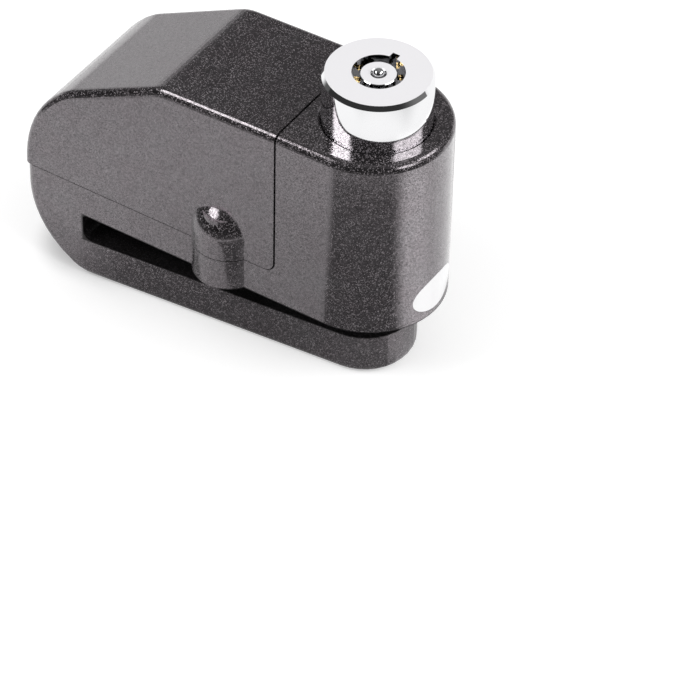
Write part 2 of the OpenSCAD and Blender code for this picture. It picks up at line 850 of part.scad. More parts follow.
module plunger_shell() {
    chamfered = [[0, shell_z], [plunger_r, shell_z], [plunger_r, cap_z - cap_chamfer_h],
        [plunger_r - cap_chamfer_w, cap_z], [0, cap_z]];
    color("#d8d8dc")
        difference() {
            rotate_extrude()
                polygon(chamfered);
            translate([0, 0, shell_z - over])
                cylinder(h = cap_z - mouth_depth - shell_z + over, r = core_bore_r);
            translate([0, 0, shell_z])
                cylinder(h = cap_z - shell_z + over, r = mouth_d / 2);
            box([-notch_w / 2, 0, cap_z - mouth_depth - over],
                [notch_w / 2, mouth_d / 2 + notch_out, cap_z + over]);
            translate([0, 0, (sleeve_z0 + sleeve_z1) / 2])
                rotate([0, 0, -90])
                    rod_x(core_bore_r - over, plunger_r + over, sleeve_pin_r + fixed);
            on_both_sides(base_screw_y)
                translate([0, 0, shell_z - over])
                    cylinder(h = base_screw_bite + 2 * over, r = base_screw_r + fixed);
            plunger_rear_cuts();
        }
}

module plunger_base() {
    color("#c2c2c6")
        difference() {
            translate([0, 0, base_z])
                cylinder(h = shell_z - base_z, r = plunger_r);
            box([bolt_slot_x, -bolt_w / 2 - pass, bolt_floor_z],
                [plunger_r + over, bolt_w / 2 + pass, shell_z + over]);
            translate([0, 0, base_z - over])
                cylinder(h = base_plate_t + 2 * over, r = pin_d / 2 + fixed);
            on_both_sides(base_screw_y)
                translate([0, 0, base_z - over]) {
                    cylinder(h = shell_z - base_z + 2 * over, r = base_screw_r + pass);
                    cylinder(h = base_head_h + loose + over, r = base_head_r + pass);
                }
            plunger_rear_cuts();
        }
}

module base_screws() {
    color("#9a9a9e")
        on_both_sides(base_screw_y)
            translate([0, 0, base_z + loose])
                difference() {
                    union() {
                        cylinder(h = base_head_h, r = base_head_r);
                        cylinder(h = shell_z - base_z - loose + base_screw_bite, r = base_screw_r);
                    }
                    box([-base_head_r, -drive_w / 2, -over], [base_head_r, drive_w / 2, drive_depth]);
                }
}

module locking_pin() {
    r = pin_d / 2;
    color("#b8bac0")
        rotate_extrude()
            polygon([[0, pin_tip_z], [r - pin_chamfer, pin_tip_z], [r, pin_tip_z + pin_chamfer],
                [r, base_z - pin_flange_t], [pin_flange_r, base_z - pin_flange_t], [pin_flange_r, base_z],
                [r, base_z], [r, bolt_floor_z - loose], [0, bolt_floor_z - loose]]);
}

module driver_sleeve() {
    color("#b59a5a")
        translate([0, 0, sleeve_z0])
            difference() {
                cylinder(h = sleeve_l, r = core_bore_r - fixed);
                translate([0, 0, -over])
                    cylinder(h = sleeve_l + 2 * over, r = shaft_d / 2 + running);
                at_tumblers()
                    translate([0, 0, sleeve_web])
                        cylinder(h = sleeve_l, r = tumbler_hole_r);
                translate([0, 0, sleeve_l / 2])
                    rotate([0, 0, -90])
                        rod_x(core_bore_r - sleeve_pin_bite, core_bore_r + over, sleeve_pin_r + fixed);
            }
}

module sleeve_pin() {
    color("#a0a0a4")
        translate([0, 0, (sleeve_z0 + sleeve_z1) / 2])
            rotate([0, 0, -90])
                rod_x(core_bore_r - sleeve_pin_bite + pass, plunger_r - loose, sleeve_pin_r);
}

module driver_pins() {
    color("#c9a24a")
        at_tumblers()
            translate([0, 0, sleeve_z1 - driver_l - seat])
                cylinder(h = driver_l, r = tumbler_d / 2);
}

module tumbler_springs() {
    color("#b0b2b8")
        at_tumblers()
            translate([0, 0, sleeve_z0 + sleeve_web + seat])
                coil(tumbler_d - tumbler_wire - loose, tumbler_wire,
                    sleeve_l - sleeve_web - driver_l - 3 * seat, tumbler_turns, small_per_turn);
}

// Drawn as short as the drawn-in bolt leaves it
module latch_spring() {
    length = bolt_tail_x + latch_hole_l - latch_throw - bolt_slot_x - loose - seat;
    color("#b0b2b8")
        translate([bolt_slot_x + seat, 0, (bolt_z0 + bolt_z1) / 2])
            rotate([0, 90, 0])
                coil(latch_spring_d, latch_wire, length, latch_turns, small_per_turn);
}

// Turning core: centre post, flange with its pin holes, and shaft down to the cam
module core_spindle() {
    post_r = post_d / 2;
    shaft_r = shaft_d / 2;
    post_z = cap_z - post_down;
    color("#cfcfd4")
        difference() {
            rotate_extrude()
                polygon([[0, shaft_z], [shaft_r, shaft_z], [shaft_r, flange_z0], [flange_d / 2, flange_z0],
                    [flange_d / 2, flange_z1], [post_r, flange_z1], [post_r, post_z - post_chamfer],
                    [post_r - post_chamfer, post_z], [0, post_z]]);
            at_tumblers()
                translate([0, 0, flange_z0 - over])
                    cylinder(h = flange_t + 2 * over, r = tumbler_hole_r);
            translate([0, 0, post_z - ball_seat])
                cylinder(h = ball_seat + over, r = ball_hole_r);
            translate([0, 0, post_z - dimple])
                cylinder(h = dimple + over, r1 = ball_hole_r, r2 = ball_hole_r + dimple + over);
            // Flat that drives the cam
            box([shaft_r - shaft_flat, -shaft_r, shaft_z - over], [shaft_r + over, shaft_r, cam_z1 + pass]);
        }
}

// The pins are cut to different lengths, as a key's bitting asks
module key_pins() {
    top_gap = 0.3;
    cut_step = 0.25;
    cuts = [0, 3, 2, 1, 0, 3, 2, 1];
    color("#d0a850")
        for (i = [0:tumbler_count - 1])
            rotate([0, 0, 360 * i / tumbler_count])
                translate([ring_r, 0, flange_z0 + seat])
                    cylinder(h = flange_t - top_gap - cut_step * cuts[i], r = tumbler_d / 2);
}

module core_ball() {
    color("#e0e0e4")
        translate([0, 0, cap_z - post_down - ball_seat + ball_d / 2])
            sphere(r = ball_d / 2);
}

// Cam disc on the shaft's flat, with the crank pin that draws the bolt
module core_cam() {
    shaft_r = shaft_d / 2 + fixed;
    cam_room = 0.6;
    color("#a8a8ac")
        difference() {
            union() {
                translate([0, 0, cam_z0])
                    cylinder(h = cam_t, r = core_bore_r - cam_room);
                rotate([0, 0, -45])
                    translate([crank_r, 0, cam_z0 - crank_pin_l])
                        cylinder(h = crank_pin_l + cam_web, r = crank_pin_d / 2);
            }
            difference() {
                translate([0, 0, cam_z0 + cam_web])
                    cylinder(h = cam_t, r = shaft_r);
                box([shaft_r - shaft_flat, -plunger_r, cam_z0], [plunger_r, plunger_r, cam_z1 + over]);
            }
        }
}

module latch_bolt() {
    crank_x = crank_r * cos(45);
    half_x = crank_pin_d / 2 + loose;
    color("#9c9ca2")
        difference() {
            intersection() {
                box([bolt_tail_x, -bolt_w / 2, bolt_z0], [plunger_r, bolt_w / 2, bolt_z1]);
                translate([0, 0, bolt_z0 - over])
                    cylinder(h = bolt_h + 2 * over, r = bolt_nose_x);
            }
            box([crank_x - half_x, -crank_r - half_x, bolt_z1 - crank_pin_l],
                [crank_x + half_x, half_x - crank_x, bolt_z1 + over]);
            translate([0, 0, (bolt_z0 + bolt_z1) / 2])
                rod_x(bolt_tail_x - over, bolt_tail_x + latch_hole_l, latch_hole_r);
        }
}

// Posts that carry the circuit board
module at_posts() {
    for (x = post_x)
        for (y = [-post_y, post_y])
            translate([x, y, 0])
                children();
}

module alarm_tray() {
    color("#26282c")
        difference() {
            union() {
                box([board_rear_x, -board_w, floor_z], [board_front_x, board_w, floor_z + tray_t]);
                at_posts()
                    translate([0, 0, floor_z])
                        cylinder(h = siren_h, r = module_screw_r + post_wall);
            }
            translate([siren_x, 0, floor_z - over])
                cylinder(h = siren_h + 2 * over, r = siren_r + siren_room);
            at_posts()
                translate([0, 0, floor_z - over])
                    cylinder(h = siren_h + 2 * over, r = module_screw_r + pass);
        }
}

module module_screws() {
    color("#a0a0a4")
        at_posts()
            difference() {
                union() {
                    translate([0, 0, floor_z - module_screw_bite])
                        cylinder(h = board_z1 - floor_z + module_screw_bite, r = module_screw_r);
                    translate([0, 0, board_z1])
                        cylinder(h = module_head_h, r = module_head_r);
                }
                for (turn = [0, 90])
                    rotate([0, 0, turn])
                        box([-module_head_r, -drive_w / 2, board_z1 + module_head_h - drive_depth],
                            [module_head_r, drive_w / 2, board_z1 + module_head_h + over]);
            }
}

module circuit_board() {
    color("#1f6b3a")
        difference() {
            box([board_rear_x, -board_w, board_z0], [board_front_x, board_w, board_z1]);
            at_posts()
                translate([0, 0, board_z0 - over])
                    cylinder(h = board_t + 2 * over, r = module_screw_r + pass);
        }
}

module siren_case() {
    inner = siren_r - siren_wall;
    lip = inner - siren_lip;
    roof = siren_h - siren_roof;
    color("#1c1c1e")
        translate([siren_x, 0, floor_z])
            rotate_extrude()
                polygon([[lip, 0], [siren_r, 0], [siren_r, siren_h], [0, siren_h],
                    [0, roof], [inner, roof], [inner, siren_ledge], [lip, siren_ledge]]);
}

module siren_disc() {
    r = siren_r - siren_wall - pass;
    color("#c8a34c")
        translate([siren_x, 0, floor_z + siren_ledge]) {
            cylinder(h = disc_t, r = r);
            cylinder(h = disc_t + ceramic_t, r = ceramic_share * r);
        }
}

module sound_mesh() {
    color("#3a3a3c")
        translate([siren_x, 0, floor_z - mesh_recess])
            cylinder(h = mesh_t, r = mesh_r);
}

module battery_holder() {
    color("#222428")
        difference() {
            box([holder_x0, -holder_w, board_z1], [holder_x1, holder_w, link_z - lid_lip]);
            for (x = cell_x)
                translate([x, 0, board_z1 + holder_floor])
                    cylinder(h = stack_h + 2 * over, r = cell_r + cell_gap);
        }
}

module battery_cells() {
    cap_share = 0.86;
    can_r = cap_share * cell_r;
    edge = 0.3;
    color("#c6c8cc")
        for (x = cell_x)
            for (i = [0:cells_per_stack - 1])
                translate([x, 0, cell_z + i * cell_step])
                    rotate_extrude()
                        polygon([[0, 0], [can_r, 0], [can_r, edge], [cell_r, 2 * edge],
                            [cell_r, cell_h - edge], [cell_r - edge, cell_h], [0, cell_h]]);
}

module battery_contacts() {
    color("#d8c48a")
        for (x = cell_x)
            translate([x, 0, cell_z - contact_t])
                cylinder(h = contact_t, r = contact_share * cell_r);
}

module battery_link() {
    color("#d8c48a")
        box([cell_x[1] - link_w / 2, -link_w / 2, link_z], [cell_x[0] + link_w / 2, link_w / 2, lid_z]);
}

module battery_lid() {
    color("#2c2e33")
        difference() {
            box([holder_x0, -holder_w, link_z - lid_lip], [holder_x1, holder_w, lid_z + lid_t]);
            box([holder_x0 + holder_wall, -cell_r - cell_gap, link_z - lid_lip - over],
                [holder_x1 - holder_wall, cell_r + cell_gap, lid_z]);
        }
}

module shock_sensor() {
    color("#b89a4c")
        translate([sensor_x, sensor_y, board_z1]) {
            cylinder(h = sensor_h, r = sensor_r);
            cylinder(h = sensor_base_t, r = sensor_base_r);
        }
}

module controller_chip() {
    color("#161618")
        translate([sensor_x - chip_size[0] / 2, chip_y - chip_size[1] / 2, board_z1])
            cube(chip_size);
}

module boost_coil() {
    color("#4a2c1a")
        translate([board_rear_x + coil_back, 0, board_z1]) {
            cylinder(h = coil_flange_t, r = coil_r);
            cylinder(h = coil_h, r = coil_core_r);
            translate([0, 0, coil_h - coil_flange_t])
                cylinder(h = coil_flange_t, r = coil_r);
        }
}

module arming_switch() {
    pocket_w = button_w + 2 * loose;
    pocket_h = button_h + 2 * loose;
    color("#2a2a30")
        difference() {
            box([switch_x0, -switch_w / 2, board_z1], [switch_face_x, switch_w / 2, switch_top_z]);
            box([button_x - button_l - arm_throw - loose, -pocket_w / 2, rod_z - pocket_h / 2],
                [button_x, pocket_w / 2, rod_z + pocket_h / 2]);
        }
}

module switch_button() {
    color("#b03028")
        box([button_x - button_l, -button_w / 2, rod_z - button_h / 2],
            [button_x, button_w / 2, rod_z + button_h / 2]);
}

// Steel rod between the plunger's ramp and the switch, with a rounded nose
module switch_rod() {
    r = rod_d / 2;
    nose_l = ramp_depth - plunger_r - rod_gap - button_x;
    color("#c0c2c8")
        translate([button_x, 0, rod_z])
            rotate([0, 90, 0])
                rotate_extrude()
                    polygon(concat([[0, 0], [r, 0]], arc([0, nose_l - r], r, 0, 90, edge_steps)));
}

lock_body();
alarm_cover();
cover_gasket();
cover_screws();
oval_inlay();
plunger_seal();
stop_pin();
return_spring();
plunger_shell();
plunger_base();
base_screws();
locking_pin();
driver_sleeve();
sleeve_pin();
driver_pins();
tumbler_springs();
latch_spring();
core_spindle();
key_pins();
core_ball();
core_cam();
latch_bolt();
alarm_tray();
module_screws();
circuit_board();
siren_case();
siren_disc();
sound_mesh();
battery_holder();
battery_cells();
battery_contacts();
battery_link();
battery_lid();
shock_sensor();
controller_chip();
boost_coil();
arming_switch();
switch_button();
switch_rod();
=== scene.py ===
"""Looks of an alarm disc lock for a motorcycle's brake disc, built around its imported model."""
import json
import math

import bpy
from mathutils import Matrix, Vector


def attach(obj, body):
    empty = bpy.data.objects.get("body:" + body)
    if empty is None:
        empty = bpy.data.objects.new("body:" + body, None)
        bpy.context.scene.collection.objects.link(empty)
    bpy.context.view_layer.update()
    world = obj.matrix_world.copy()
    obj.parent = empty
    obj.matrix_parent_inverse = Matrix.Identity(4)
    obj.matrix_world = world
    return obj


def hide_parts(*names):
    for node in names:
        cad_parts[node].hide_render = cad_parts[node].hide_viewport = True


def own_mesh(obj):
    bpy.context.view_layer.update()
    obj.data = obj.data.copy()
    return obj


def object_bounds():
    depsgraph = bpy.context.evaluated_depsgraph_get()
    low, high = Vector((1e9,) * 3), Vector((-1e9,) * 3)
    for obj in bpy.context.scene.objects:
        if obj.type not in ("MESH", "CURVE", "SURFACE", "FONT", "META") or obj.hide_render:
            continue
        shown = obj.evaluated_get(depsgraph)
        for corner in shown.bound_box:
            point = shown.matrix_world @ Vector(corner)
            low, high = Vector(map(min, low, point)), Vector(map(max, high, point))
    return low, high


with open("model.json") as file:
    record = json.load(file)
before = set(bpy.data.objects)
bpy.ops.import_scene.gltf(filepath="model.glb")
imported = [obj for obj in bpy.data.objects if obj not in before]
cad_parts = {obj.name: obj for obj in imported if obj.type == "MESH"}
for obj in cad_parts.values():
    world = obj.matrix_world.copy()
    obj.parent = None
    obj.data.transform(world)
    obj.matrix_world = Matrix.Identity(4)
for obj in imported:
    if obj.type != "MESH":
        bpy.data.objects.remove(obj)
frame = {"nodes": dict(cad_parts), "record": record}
NODES = frame["nodes"]
MOUNTS = {mount["name"]: mount["pos_m"] for mount in frame["record"]["mounts"]}
cad_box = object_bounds()

MM = 0.001

# The slot for the brake disc, and the side bosses' outermost faces
SLOT_REAR, _, SLOT_MIDDLE = MOUNTS["disc_slot"]
SLOT_ROOF = MOUNTS["slot_roof"][2]
SLOT_FLOOR = 2 * SLOT_MIDDLE - SLOT_ROOF
BOSS_FACE = cad_box[1][1]


# Node-tree helpers

class Tree:
    """Short forms for the nodes of one material or world, starting from an empty tree."""

    def __init__(self, owner):
        owner.use_nodes = True
        self.tree = owner.node_tree
        self.tree.nodes.clear()

    def node(self, kind, **settings):
        made = self.tree.nodes.new(kind)
        for name, value in settings.items():
            setattr(made, name, value)
        return made

    def put(self, socket, value):
        """Links a socket, or sets a plain value on it."""
        if isinstance(value, bpy.types.NodeSocket):
            self.tree.links.new(value, socket)
        else:
            socket.default_value = value

    def fill(self, node, *values):
        """Puts values on a node's first inputs and returns its first output."""
        for socket, value in zip(node.inputs, values):
            self.put(socket, value)
        return node.outputs[0]

    def math(self, operation, a, b=0.0):
        return self.fill(self.node("ShaderNodeMath", operation=operation), a, b)

    def total(self, value, *others):
        for other in others:
            value = self.math("ADD", value, other)
        return value

    def product(self, value, *others):
        for other in others:
            value = self.math("MULTIPLY", value, other)
        return value

    def sine(self, value, pitch):
        """A wave that repeats after each pitch."""
        return self.math("SINE", self.product(value, 2 * math.pi / pitch))

    def vector_math(self, operation, a, b=(0, 0, 0)):
        return self.fill(self.node("ShaderNodeVectorMath", operation=operation), a, b)

    def scaled(self, vector, factor):
        made = self.node("ShaderNodeVectorMath", operation="SCALE")
        self.put(made.inputs[0], vector)
        self.put(made.inputs["Scale"], factor)
        return made.outputs["Vector"]

    def length(self, x, y):
        """Length of a level vector."""
        made = self.node("ShaderNodeVectorMath", operation="LENGTH")
        self.put(made.inputs[0], self.join(x, y, 0.0))
        return made.outputs["Value"]

    def along(self, x, y, direction):
        """How far a level vector reaches in a level direction."""
        return self.total(self.product(x, direction[0]), self.product(y, direction[1]))

    def mix(self, factor, a, b):
        """A blend of two colours, whose sockets come after those for numbers and vectors."""
        made = self.node("ShaderNodeMix", data_type="RGBA")
        self.put(made.inputs["Factor"], factor)
        self.put(made.inputs[6], a)
        self.put(made.inputs[7], b)
        return made.outputs[2]

    def ramp(self, value, low, high, out_low=0.0, out_high=1.0):
        """A smooth step of value from low to high."""
        made = self.node("ShaderNodeMapRange", interpolation_type="SMOOTHSTEP")
        return self.fill(made, value, low, high, out_low, out_high)

    def line(self, value, low, high, out_low=0.0, out_high=1.0):
        """A straight map of value from low..high to out_low..out_high."""
        return self.fill(self.node("ShaderNodeMapRange"), value, low, high, out_low, out_high)

    def between(self, factor, at_0, at_1):
        """A straight blend of two numbers."""
        return self.line(factor, 0.0, 1.0, at_0, at_1)

    def swing(self, noise, low, high):
        """A number that follows most of a noise's range from low to high."""
        return self.line(noise, 0.3, 0.7, low, high)

    def noise(self, where, size, detail=2.0, roughness=0.5):
        """Noise whose features are about size metres across."""
        made = self.node("ShaderNodeTexNoise")
        self.put(made.inputs["Vector"], where)
        made.inputs["Scale"].default_value = 1.0 / size
        made.inputs["Detail"].default_value = detail
        made.inputs["Roughness"].default_value = roughness
        return made.outputs["Fac"]

    def cells(self, where, size):
        """Outputs of a pattern of cells that are about size metres across."""
        made = self.node("ShaderNodeTexVoronoi")
        self.put(made.inputs["Vector"], where)
        made.inputs["Scale"].default_value = 1.0 / size
        return made.outputs

    def bump(self, height, strength, depth):
        made = self.node("ShaderNodeBump")
        made.inputs["Strength"].default_value = strength
        made.inputs["Distance"].default_value = depth
        self.put(made.inputs["Height"], height)
        return made.outputs["Normal"]

    def emission(self, strength):
        made = self.node("ShaderNodeEmission")
        self.put(made.inputs["Strength"], strength)
        return made.outputs[0]

    def place(self):
        return self.node("ShaderNodeTexCoord").outputs["Object"]

    def normal(self):
        return self.node("ShaderNodeNewGeometry").outputs["Normal"]

    def light_path(self):
        return self.node("ShaderNodeLightPath").outputs

    def split(self, vector):
        made = self.node("ShaderNodeSeparateXYZ")
        self.put(made.inputs[0], vector)
        return made.outputs

    def join(self, x, y, z):
        return self.fill(self.node("ShaderNodeCombineXYZ"), x, y, z)


def new_material(name):
    """A material with a fresh Principled shader; returns it with its tree and shader."""
    made = bpy.data.materials.new(name)
    t = Tree(made)
    out = t.node("ShaderNodeOutputMaterial")
    shader = t.node("ShaderNodeBsdfPrincipled")
    t.put(out.inputs["Surface"], shader.outputs[0])
    return made, t, shader


def settle(t, shader, **values):
    """Sets or links the shader's inputs by their names, with _ for a space."""
    for name, value in values.items():
        t.put(shader.inputs[name.replace("_", " ")], value)


def grey(level):
    return (level, level, level, 1.0)


# Materials

def slot_shade_mask(t, place):
    """1 on the slot's inner walls, where the paint gets a painted shade, and 0 on the outside, with
    soft edges.
    """
    x, y, z = t.split(place)
    return t.product(
        t.ramp(x, SLOT_REAR - 0.7 * MM, SLOT_REAR + 0.1 * MM),
        t.ramp(t.math("ABSOLUTE", y), BOSS_FACE - 0.65 * MM, BOSS_FACE - 0.05 * MM, 1.0, 0.0),
        t.ramp(z, SLOT_FLOOR - 0.3 * MM, SLOT_FLOOR - 0.05 * MM),
        t.ramp(z, SLOT_ROOF + 0.05 * MM, SLOT_ROOF + 0.3 * MM, 1.0, 0.0))


def paint(name, seed):
    """Glossy charcoal paint full of fine metal flakes, with pale grains strewn among them.
    The slot's inner walls are rougher and painted near black: a painted shade for the deep slot."""
    made, t, shader = new_material(name)
    place = t.place()
    where = t.vector_math("ADD", place, (seed, 2 * seed, 3 * seed))
    flake = t.cells(where, size=0.16 * MM)["Color"]
    bright, _, stray = t.split(flake)
    # The cells with the highest of these random numbers are the pale grains
    grain = t.ramp(stray, 0.8, 0.9)
    cloud = t.noise(where, size=6 * MM, detail=3.0)
    peel = t.noise(where, size=0.7 * MM)
    matt_slot_shade = slot_shade_mask(t, place)

    tilt = t.vector_math("SUBTRACT", flake, (0.5, 0.5, 0.5))
    tilt = t.scaled(tilt, t.between(grain, 0.07, 0.5))
    flake_normal = t.vector_math("NORMALIZE", t.vector_math("ADD", t.normal(), tilt))

    tint = t.mix(cloud, (0.172, 0.150, 0.161, 1), (0.150, 0.142, 0.149, 1))
    speckle = t.total(t.between(bright, 0.42, 1.58), t.product(grain, 0.6))
    # Darkened to 0.14 on the slot's inner walls: painted shade
    tone = t.product(speckle, t.swing(cloud, 0.95, 1.05), t.between(matt_slot_shade, 1.0, 0.14))
    rough = t.math("MAXIMUM", t.between(grain, 0.13, 0.5), t.product(matt_slot_shade, 0.6))
    settle(t, shader, Base_Color=t.scaled(tint, tone), Metallic=t.between(grain, 0.93, 0.5),
           Roughness=rough, Normal=flake_normal, Coat_Weight=0.4, Coat_Roughness=0.05,
           Coat_Normal=t.bump(peel, strength=0.08, depth=0.03 * MM))
    return made


def chrome(name):
    """Mirror chrome on the round side, finely turned satin on the flat end."""
    made, t, shader = new_material(name)
    where = t.place()
    x, y, _ = t.split(where)
    # 1 on faces that look straight up, which are the flat end
    end = t.ramp(t.split(t.normal())[2], 0.9, 0.99)
    rings = t.noise(t.join(t.length(x, y), 0.0, 0.0), size=0.05 * MM)
    smear = t.noise(where, size=3 * MM, detail=3.0)
    side_colour = t.mix(smear, (0.92, 0.92, 0.93, 1), (0.95, 0.95, 0.96, 1))
    end_colour = t.mix(rings, (0.86, 0.85, 0.87, 1), (0.91, 0.9, 0.92, 1))
    rough = t.total(t.between(end, 0.04, 0.68), t.swing(smear, 0.0, 0.03))
    settle(t, shader, Base_Color=t.mix(end, side_colour, end_colour),
           Metallic=t.between(end, 1.0, 0.2), Roughness=rough,
           Normal=t.bump(t.product(rings, end), strength=0.1, depth=0.01 * MM))
    return made


def metal(name, light, dark, rough, grain, along=(1.0, 1.0, 1.0), strength=0.15):
    """Ground or drawn metal with fine lines and faint stains."""
    made, t, shader = new_material(name)
    where = t.place()
    lines = t.noise(t.vector_math("MULTIPLY", where, along), size=grain, detail=4.0, roughness=0.6)
    stain = t.noise(where, size=2.5 * MM, detail=3.0)
    settle(t, shader, Base_Color=t.mix(t.product(lines, stain), light, dark), Metallic=1.0,
           Roughness=t.swing(lines, rough - 0.06, rough + 0.08),
           Normal=t.bump(lines, strength, depth=0.02 * MM))
    return made


def plastic(name, tone, other_tone, rough, grain, strength=0.2):
    """Moulded plastic or rubber with a fine texture and slight tone changes."""
    made, t, shader = new_material(name)
    where = t.place()
    pores = t.noise(where, size=grain, detail=3.0)
    cloud = t.noise(where, size=5 * MM, detail=3.0)
    settle(t, shader, Base_Color=t.mix(cloud, tone, other_tone),
           Roughness=t.swing(pores, rough - 0.07, rough + 0.07),
           Normal=t.bump(pores, strength, depth=0.03 * MM))
    return made


def board(name):
    """Green solder resist with copper traces under it and round pads."""
    made, t, shader = new_material(name)
    where = t.place()
    x, y, _ = t.split(where)
    pitch = 1.27 * MM
    trace_half = 0.3 * MM
    traces_from = -1.0
    row = t.math("PINGPONG", t.math("SUBTRACT", y, traces_from), pitch)
    trace = t.math("LESS_THAN", row, trace_half)
    grid = t.join(t.math("SNAP", x, pitch), t.math("SNAP", y, 4 * pitch), 0.0)
    laid = t.math("GREATER_THAN", t.noise(grid, size=2 * MM, detail=0.0), 0.5)
    copper = t.product(trace, laid)
    pad = t.math("LESS_THAN", t.cells(where, size=3.2 * MM)["Distance"], 0.11)
    colour = t.mix(copper, (0.012, 0.085, 0.035, 1), (0.03, 0.17, 0.06, 1))
    settle(t, shader, Base_Color=t.mix(pad, colour, (0.62, 0.62, 0.58, 1)), Roughness=0.3,
           Metallic=pad, Normal=t.bump(t.total(copper, pad), strength=0.3, depth=0.03 * MM))
    return made


def woven(name):
    """Fine woven wire mesh."""
    made, t, shader = new_material(name)
    x, y, _ = t.split(t.place())
    pitch = 0.45 * MM
    height = t.math("MAXIMUM", t.sine(x, pitch), t.sine(y, pitch))
    # Near black in the gaps between the wires: painted shade
    colour = t.mix(t.ramp(height, 0.2, 0.9), (0.01, 0.01, 0.01, 1), (0.45, 0.45, 0.46, 1))
    settle(t, shader, Base_Color=colour, Metallic=0.9, Roughness=t.line(height, -1.0, 1.0, 0.6, 0.3),
           Normal=t.bump(height, strength=0.6, depth=0.1 * MM))
    return made


def cell_can(name):
    """Brushed nickel plating of a button cell."""
    made, t, shader = new_material(name)
    around = (1, 1, 14)
    brush = t.noise(t.vector_math("MULTIPLY", t.place(), around), size=0.4 * MM, detail=3.0)
    colour = t.mix(brush, (0.62, 0.62, 0.64, 1), (0.78, 0.78, 0.79, 1))
    settle(t, shader, Base_Color=colour, Metallic=1.0, Roughness=t.swing(brush, 0.2, 0.32),
           Normal=t.bump(brush, strength=0.1, depth=0.01 * MM))
    return made


def inlay(name):
    """Glossy white inlay with a faint depth of tone."""
    made, t, shader = new_material(name)
    where = t.place()
    cloud = t.noise(where, size=4 * MM)
    ripple = t.noise(where, size=1.2 * MM, detail=1.0)
    colour = t.mix(cloud, (0.86, 0.85, 0.86, 1), (0.9, 0.9, 0.91, 1))
    settle(t, shader, Base_Color=colour, Roughness=t.swing(ripple, 0.1, 0.16), Coat_Weight=0.3,
           Normal=t.bump(ripple, strength=0.04, depth=0.02 * MM))
    return made


def winding(name):
    """Enamelled copper wire wound round a core."""
    made, t, shader = new_material(name)
    wire = 0.35 * MM
    turns = t.sine(t.split(t.place())[2], wire)
    # Darker in the grooves between the turns: painted shade
    colour = t.mix(t.line(turns, -1.0, 1.0), (0.16, 0.05, 0.02, 1), (0.62, 0.27, 0.12, 1))
    settle(t, shader, Base_Color=colour, Metallic=0.8, Roughness=t.line(turns, -1.0, 1.0, 0.5, 0.25),
           Normal=t.bump(turns, strength=0.6, depth=0.08 * MM))
    return made


# Each metal and plastic has two tones, which its finish blends
STEEL = (0.62, 0.62, 0.65, 1), (0.44, 0.44, 0.46, 1)
BALL_STEEL = (0.86, 0.86, 0.87, 1), (0.6, 0.6, 0.62, 1)
SPRING_STEEL = (0.5, 0.5, 0.53, 1), (0.34, 0.34, 0.36, 1)
ZINC = (0.4, 0.4, 0.42, 1), (0.22, 0.22, 0.23, 1)
BRASS = (0.72, 0.53, 0.24, 1), (0.5, 0.34, 0.13, 1)
RED = (0.46, 0.03, 0.025, 1), (0.36, 0.02, 0.02, 1)
RUBBER = (0.016, 0.016, 0.017, 1), (0.026, 0.026, 0.027, 1)
BLACK = (0.022, 0.023, 0.026, 1), (0.034, 0.035, 0.038, 1)
SWITCH_BLACK = (0.03, 0.03, 0.036, 1), (0.05, 0.05, 0.058, 1)

# How a metal's fine lines run: turned about the vertical, or drawn along X
TURNED = (1.0, 1.0, 12.0)
DRAWN = (0.08, 1.0, 1.0)

# Each finish with the nodes that have it
FINISHES = (
    (paint("paint_body", seed=0.0), ("lock_body",)),
    (paint("paint_cover", seed=0.13), ("alarm_cover",)),
    (inlay("white_inlay"), ("oval_inlay",)),
    (board("green_board"), ("circuit_board",)),
    (woven("siren_mesh"), ("sound_mesh",)),
    (cell_can("button_cells"), ("battery_cells",)),
    (winding("copper_winding"), ("boost_coil",)),
    (chrome("plunger_chrome"), ("plunger_shell", "core_spindle")),
    (metal("ground_steel", *STEEL, rough=0.26, grain=0.12 * MM, along=TURNED),
     ("plunger_base", "base_screws", "sleeve_pin", "core_cam")),
    (metal("pin_steel", *STEEL, rough=0.2, grain=0.1 * MM, along=TURNED),
     ("locking_pin", "module_screws")),
    (metal("ball_steel", *BALL_STEEL, rough=0.12, grain=0.1 * MM, along=TURNED, strength=0.05),
     ("core_ball",)),
    (metal("bolt_steel", *STEEL, rough=0.3, grain=0.1 * MM, along=DRAWN),
     ("latch_bolt", "stop_pin", "switch_rod")),
    (metal("screw_zinc", *ZINC, rough=0.36, grain=0.15 * MM), ("cover_screws",)),
    (metal("spring_wire", *SPRING_STEEL, rough=0.28, grain=0.08 * MM),
     ("return_spring", "tumbler_springs", "latch_spring")),
    (metal("turned_brass", *BRASS, rough=0.24, grain=0.1 * MM, along=TURNED),
     ("driver_sleeve", "driver_pins", "key_pins")),
    (metal("rolled_brass", *BRASS, rough=0.32, grain=0.15 * MM, along=DRAWN),
     ("siren_disc", "battery_contacts", "battery_link", "shock_sensor")),
    (plastic("red_button", *RED, rough=0.4, grain=0.2 * MM), ("switch_button",)),
    (plastic("black_rubber", *RUBBER, rough=0.7, grain=0.25 * MM, strength=0.35),
     ("cover_gasket", "plunger_seal")),
    (plastic("black_plastic", *BLACK, rough=0.5, grain=0.3 * MM),
     ("alarm_tray", "siren_case", "battery_holder", "battery_lid")),
    (plastic("switch_plastic", *SWITCH_BLACK, rough=0.38, grain=0.3 * MM),
     ("arming_switch", "controller_chip")),
)
looks = {name: finish for finish, names in FINISHES for name in names}
for name, node in NODES.items():
    node.data.materials.clear()
    node.data.materials.append(looks[name])


# The return spring, shown as a copy of its own

